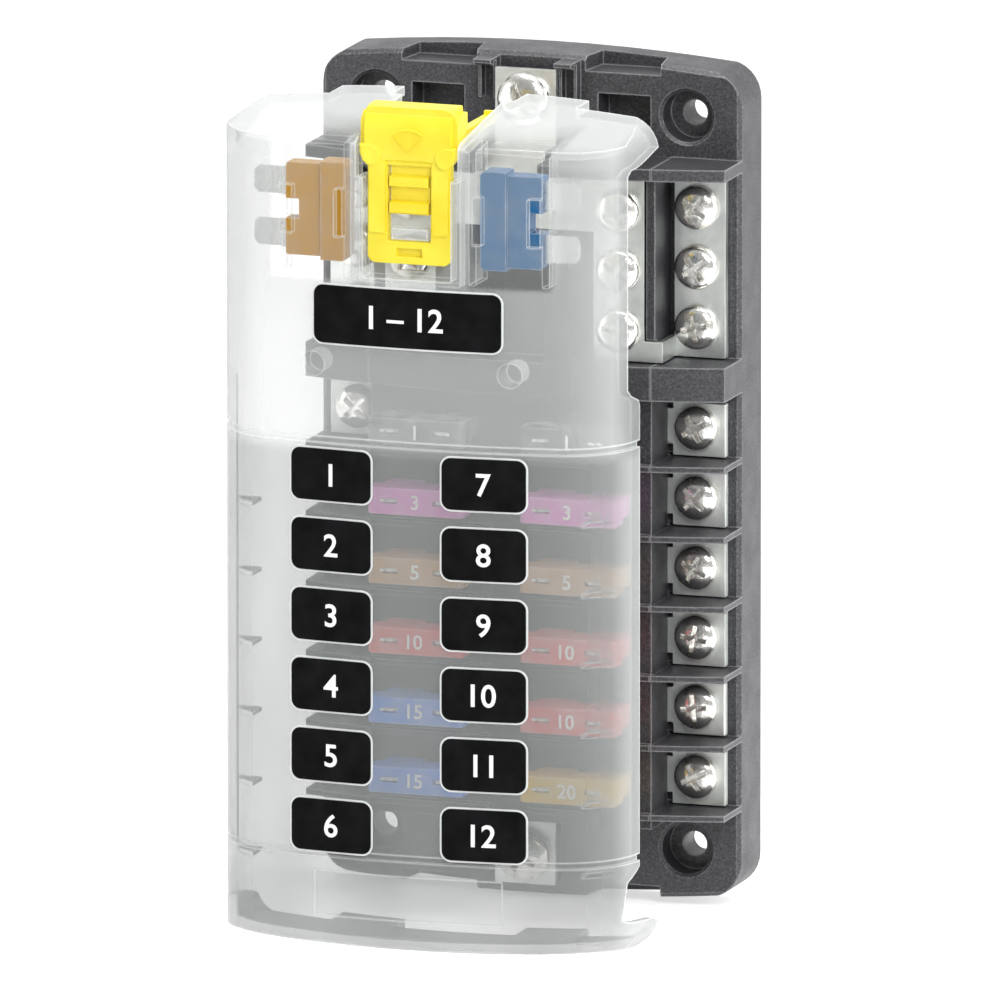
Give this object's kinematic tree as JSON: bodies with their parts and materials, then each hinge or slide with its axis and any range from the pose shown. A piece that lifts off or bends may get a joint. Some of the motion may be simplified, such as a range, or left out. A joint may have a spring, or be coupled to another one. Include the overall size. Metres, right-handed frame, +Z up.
{
  "type": "blade fuse block",
  "caption": "Screw-terminal blade fuse block with a negative bus, barrier-walled circuits, spare fuses and a frosted lift-off cover with a push latch.",
  "frame": {"origin": "centre of the four mounting holes, on the tray's back face", "axes": "+Z up along the block towards the negative terminal, +X to the right seen from the front, -Y out of the wall towards the cover"},
  "size_m": [0.0844, 0.0878, 0.1667],
  "materials": {
    "black_plastic": "fine spark-eroded texture, charcoal",
    "tinned_strip": "tin-plated copper alloy, satin",
    "plated_screw": "nickel-plated steel, bright",
    "fuse_metal": "plated zinc blades",
    "fuse_clear": "clear moulded plastic",
    "fuse_violet": "violet translucent plastic",
    "fuse_tan": "tan translucent plastic",
    "fuse_red": "red translucent plastic",
    "fuse_blue": "blue translucent plastic",
    "fuse_yellow": "yellow translucent plastic",
    "frosted_cover": "frosted clear polycarbonate",
    "yellow_plastic": "smooth yellow moulding",
    "black_label": "glossy black film"
  },
  "bodies": {
    "base": {"base_tray": "black_plastic", "fuse_deck": "black_plastic", "negative_bus": "tinned_strip", "positive_bus": "tinned_strip", "circuit_terminal_01": "tinned_strip", "circuit_terminal_02": "tinned_strip", "circuit_terminal_03": "tinned_strip", "circuit_terminal_04": "tinned_strip", "circuit_terminal_05": "tinned_strip", "circuit_terminal_06": "tinned_strip", "circuit_terminal_07": "tinned_strip", "circuit_terminal_08": "tinned_strip", "circuit_terminal_09": "tinned_strip", "circuit_terminal_10": "tinned_strip", "circuit_terminal_11": "tinned_strip", "circuit_terminal_12": "tinned_strip", "negative_bus_screws": "plated_screw", "negative_terminal_screw": "plated_screw", "positive_terminal_screw": "plated_screw", "circuit_screws": "plated_screw"},
    "cover": {"cover_shell": "frosted_cover", "title_label": "black_label", "circuit_labels": "black_label"},
    "latch": {"cover_latch": "yellow_plastic"},
    "fuse_01": {"fuse_01_body": "fuse_clear", "fuse_01_element": "fuse_metal"},
    "fuse_02": {"fuse_02_body": "fuse_violet", "fuse_02_element": "fuse_metal"},
    "fuse_03": {"fuse_03_body": "fuse_tan", "fuse_03_element": "fuse_metal"},
    "fuse_04": {"fuse_04_body": "fuse_red", "fuse_04_element": "fuse_metal"},
    "fuse_05": {"fuse_05_body": "fuse_blue", "fuse_05_element": "fuse_metal"},
    "fuse_06": {"fuse_06_body": "fuse_blue", "fuse_06_element": "fuse_metal"},
    "fuse_07": {"fuse_07_body": "fuse_clear", "fuse_07_element": "fuse_metal"},
    "fuse_08": {"fuse_08_body": "fuse_violet", "fuse_08_element": "fuse_metal"},
    "fuse_09": {"fuse_09_body": "fuse_tan", "fuse_09_element": "fuse_metal"},
    "fuse_10": {"fuse_10_body": "fuse_red", "fuse_10_element": "fuse_metal"},
    "fuse_11": {"fuse_11_body": "fuse_red", "fuse_11_element": "fuse_metal"},
    "fuse_12": {"fuse_12_body": "fuse_yellow", "fuse_12_element": "fuse_metal"},
    "spare_left": {"spare_left_body": "fuse_tan", "spare_left_element": "fuse_metal"},
    "spare_right": {"spare_right_body": "fuse_blue", "spare_right_element": "fuse_metal"}
  },
  "joints": [
    {"name": "cover_lift", "type": "slide", "parent": "base", "child": "cover", "axis": [0, -1, 0], "range_m": [-0.0465, 0]},
    {"name": "latch_press", "type": "slide", "parent": "cover", "child": "latch", "axis": [0, 0, -1], "range_m": [0, 0.0024], "stiffness_N_per_m": 600, "springref_m": -0.0005},
    {"name": "fuse_01_pull", "type": "slide", "parent": "base", "child": "fuse_01", "axis": [0, -1, 0], "range_m": [0, 0.014]},
    {"name": "fuse_02_pull", "type": "slide", "parent": "base", "child": "fuse_02", "axis": [0, -1, 0], "range_m": [0, 0.014]},
    {"name": "fuse_03_pull", "type": "slide", "parent": "base", "child": "fuse_03", "axis": [0, -1, 0], "range_m": [0, 0.014]},
    {"name": "fuse_04_pull", "type": "slide", "parent": "base", "child": "fuse_04", "axis": [0, -1, 0], "range_m": [0, 0.014]},
    {"name": "fuse_05_pull", "type": "slide", "parent": "base", "child": "fuse_05", "axis": [0, -1, 0], "range_m": [0, 0.014]},
    {"name": "fuse_06_pull", "type": "slide", "parent": "base", "child": "fuse_06", "axis": [0, -1, 0], "range_m": [0, 0.014]},
    {"name": "fuse_07_pull", "type": "slide", "parent": "base", "child": "fuse_07", "axis": [0, -1, 0], "range_m": [0, 0.014]},
    {"name": "fuse_08_pull", "type": "slide", "parent": "base", "child": "fuse_08", "axis": [0, -1, 0], "range_m": [0, 0.014]},
    {"name": "fuse_09_pull", "type": "slide", "parent": "base", "child": "fuse_09", "axis": [0, -1, 0], "range_m": [0, 0.014]},
    {"name": "fuse_10_pull", "type": "slide", "parent": "base", "child": "fuse_10", "axis": [0, -1, 0], "range_m": [0, 0.014]},
    {"name": "fuse_11_pull", "type": "slide", "parent": "base", "child": "fuse_11", "axis": [0, -1, 0], "range_m": [0, 0.014]},
    {"name": "fuse_12_pull", "type": "slide", "parent": "base", "child": "fuse_12", "axis": [0, -1, 0], "range_m": [0, 0.014]},
    {"name": "spare_left_pull", "type": "slide", "parent": "cover", "child": "spare_left", "axis": [0, 1, 0], "range_m": [0, 0.009]},
    {"name": "spare_right_pull", "type": "slide", "parent": "cover", "child": "spare_right", "axis": [0, 1, 0], "range_m": [0, 0.009]}
  ]
}
